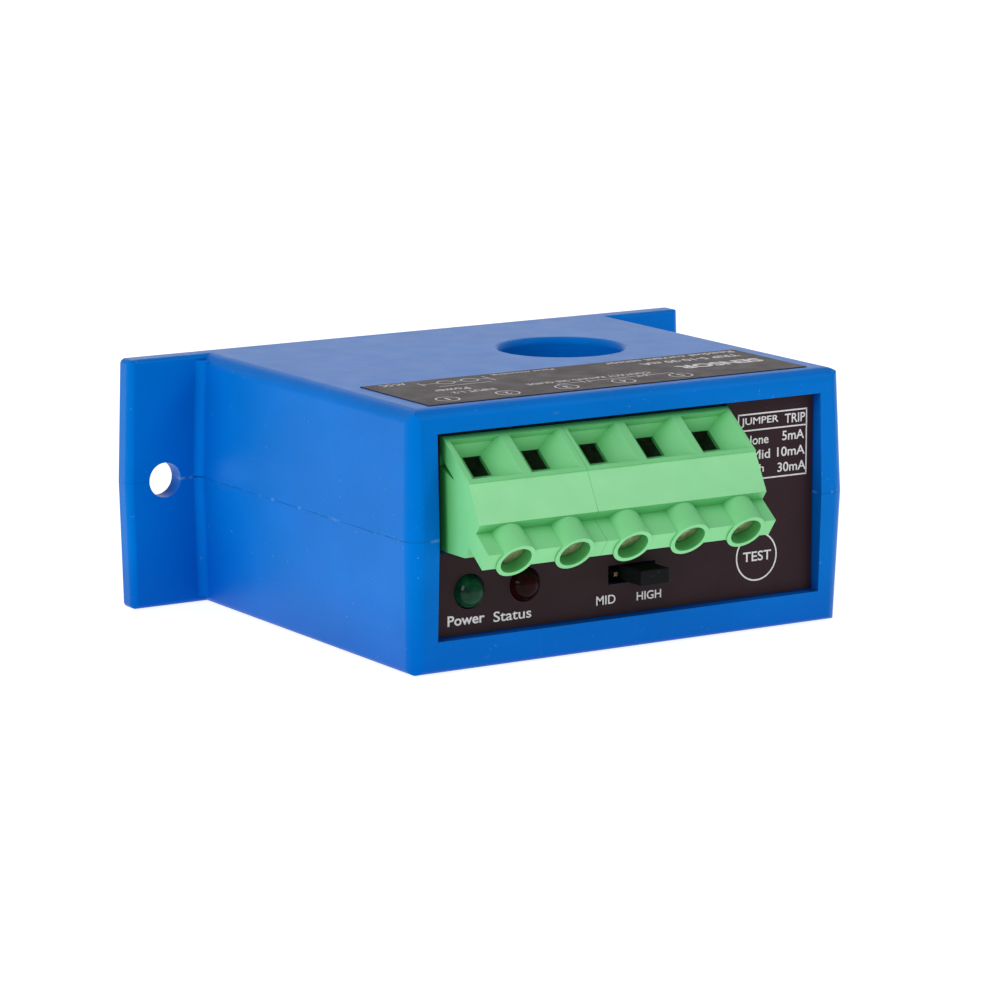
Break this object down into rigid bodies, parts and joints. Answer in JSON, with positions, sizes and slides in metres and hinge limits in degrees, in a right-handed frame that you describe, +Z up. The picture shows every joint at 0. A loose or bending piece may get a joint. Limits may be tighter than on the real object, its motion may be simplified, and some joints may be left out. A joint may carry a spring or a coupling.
{
  "type": "residual current device",
  "caption": "Panel-mount ground fault sensing module: blue two-part housing with ears, round conductor aperture, angled screw terminals, indicator lamps, trip jumper and test button.",
  "frame": {"origin": "midway between the two mounting holes, on the back mounting face and the seam between the housing halves", "axes": "+X across the ears, +Y out of the mounting face (away from the terminals), +Z up along the aperture axis"},
  "size_m": [0.1018, 0.0775, 0.0387],
  "materials": {
    "housing": "fine satin moulding texture",
    "label": "printed polycarbonate film",
    "terminal_plastic": "semi-gloss polyamide",
    "screw": "dull plated",
    "clamp": "zinc plated",
    "tinned": "tinned copper",
    "green_lens": "diffused lamp lens",
    "red_lens": "diffused lamp lens",
    "black_plastic": "satin",
    "gold": "gold flash",
    "board": "solder-masked glass epoxy",
    "core": "epoxy coated",
    "copper_wire": "enamelled wire",
    "foam": "closed cell foam",
    "lead_insulation": "pvc",
    "relay_case": "moulded",
    "lamination": "stacked sheets",
    "coil_tape": "wrapped tape",
    "capacitor_sleeve": "shrunk sleeve",
    "varistor_coat": "dipped epoxy",
    "fuse_case": "moulded"
  },
  "bodies": {
    "housing": {"upper_shell": "housing", "lower_shell": "housing", "front_label": "label", "top_label": "label", "terminal_block_2pole": "terminal_plastic", "terminal_block_3pole": "terminal_plastic", "current_bars": "tinned", "power_led": "green_lens", "power_led_leads": "tinned", "status_led": "red_lens", "status_led_leads": "tinned", "jumper_header": "black_plastic", "jumper_pins": "gold", "test_switch_body": "black_plastic", "circuit_board": "board", "toroid_core": "core", "toroid_winding": "copper_wire", "coil_pads": "foam", "toroid_leads": "lead_insulation", "output_relay": "relay_case", "relay_pins": "tinned", "transformer_core": "lamination", "transformer_coil": "coil_tape", "filter_capacitors": "capacitor_sleeve", "varistor": "varistor_coat", "fuse": "fuse_case", "rectifier": "black_plastic", "control_chips": "black_plastic", "chip_resistors": "black_plastic"},
    "test_button": {"test_button_film": "label", "test_switch_plunger": "black_plastic"},
    "jumper": {"jumper_shunt": "black_plastic", "shunt_contact": "gold"},
    "screw_1": {"terminal_screw_1": "screw"},
    "clamp_1": {"clamp_cage_1": "clamp"},
    "screw_2": {"terminal_screw_2": "screw"},
    "clamp_2": {"clamp_cage_2": "clamp"},
    "screw_3": {"terminal_screw_3": "screw"},
    "clamp_3": {"clamp_cage_3": "clamp"},
    "screw_4": {"terminal_screw_4": "screw"},
    "clamp_4": {"clamp_cage_4": "clamp"},
    "screw_5": {"terminal_screw_5": "screw"},
    "clamp_5": {"clamp_cage_5": "clamp"}
  },
  "joints": [
    {"name": "test_press", "type": "slide", "parent": "housing", "child": "test_button", "axis": [0, 1, 0], "range_m": [0, 0.0004], "stiffness_N_per_m": 1500},
    {"name": "jumper_pull", "type": "slide", "parent": "housing", "child": "jumper", "axis": [0, -1, 0], "range_m": [0, 0.0065]},
    {"name": "screw_turn_1", "type": "hinge", "parent": "housing", "child": "screw_1", "pos_m": [-0.027, -0.07424, -0.00088], "axis": [0, 0.8, 0.6], "range_deg": [0, 2520]},
    {"name": "screw_turn_2", "type": "hinge", "parent": "housing", "child": "screw_2", "pos_m": [-0.01706, -0.07424, -0.00088], "axis": [0, 0.8, 0.6], "range_deg": [0, 2520]},
    {"name": "screw_turn_3", "type": "hinge", "parent": "housing", "child": "screw_3", "pos_m": [-0.00712, -0.07424, -0.00088], "axis": [0, 0.8, 0.6], "range_deg": [0, 2520]},
    {"name": "screw_turn_4", "type": "hinge", "parent": "housing", "child": "screw_4", "pos_m": [0.00282, -0.07424, -0.00088], "axis": [0, 0.8, 0.6], "range_deg": [0, 2520]},
    {"name": "screw_turn_5", "type": "hinge", "parent": "housing", "child": "screw_5", "pos_m": [0.01276, -0.07424, -0.00088], "axis": [0, 0.8, 0.6], "range_deg": [0, 2520]},
    {"name": "clamp_rise_1", "type": "slide", "parent": "housing", "child": "clamp_1", "axis": [0, -0.8, -0.6], "range_m": [0, 0.0049]},
    {"name": "clamp_rise_2", "type": "slide", "parent": "housing", "child": "clamp_2", "axis": [0, -0.8, -0.6], "range_m": [0, 0.0049]},
    {"name": "clamp_rise_3", "type": "slide", "parent": "housing", "child": "clamp_3", "axis": [0, -0.8, -0.6], "range_m": [0, 0.0049]},
    {"name": "clamp_rise_4", "type": "slide", "parent": "housing", "child": "clamp_4", "axis": [0, -0.8, -0.6], "range_m": [0, 0.0049]},
    {"name": "clamp_rise_5", "type": "slide", "parent": "housing", "child": "clamp_5", "axis": [0, -0.8, -0.6], "range_m": [0, 0.0049]}
  ],
  "couplings": [
    {"joint": "screw_turn_1", "follows": "clamp_rise_1", "rad_per_m": 8975.9},
    {"joint": "screw_turn_2", "follows": "clamp_rise_2", "rad_per_m": 8975.9},
    {"joint": "screw_turn_3", "follows": "clamp_rise_3", "rad_per_m": 8975.9},
    {"joint": "screw_turn_4", "follows": "clamp_rise_4", "rad_per_m": 8975.9},
    {"joint": "screw_turn_5", "follows": "clamp_rise_5", "rad_per_m": 8975.9}
  ]
}
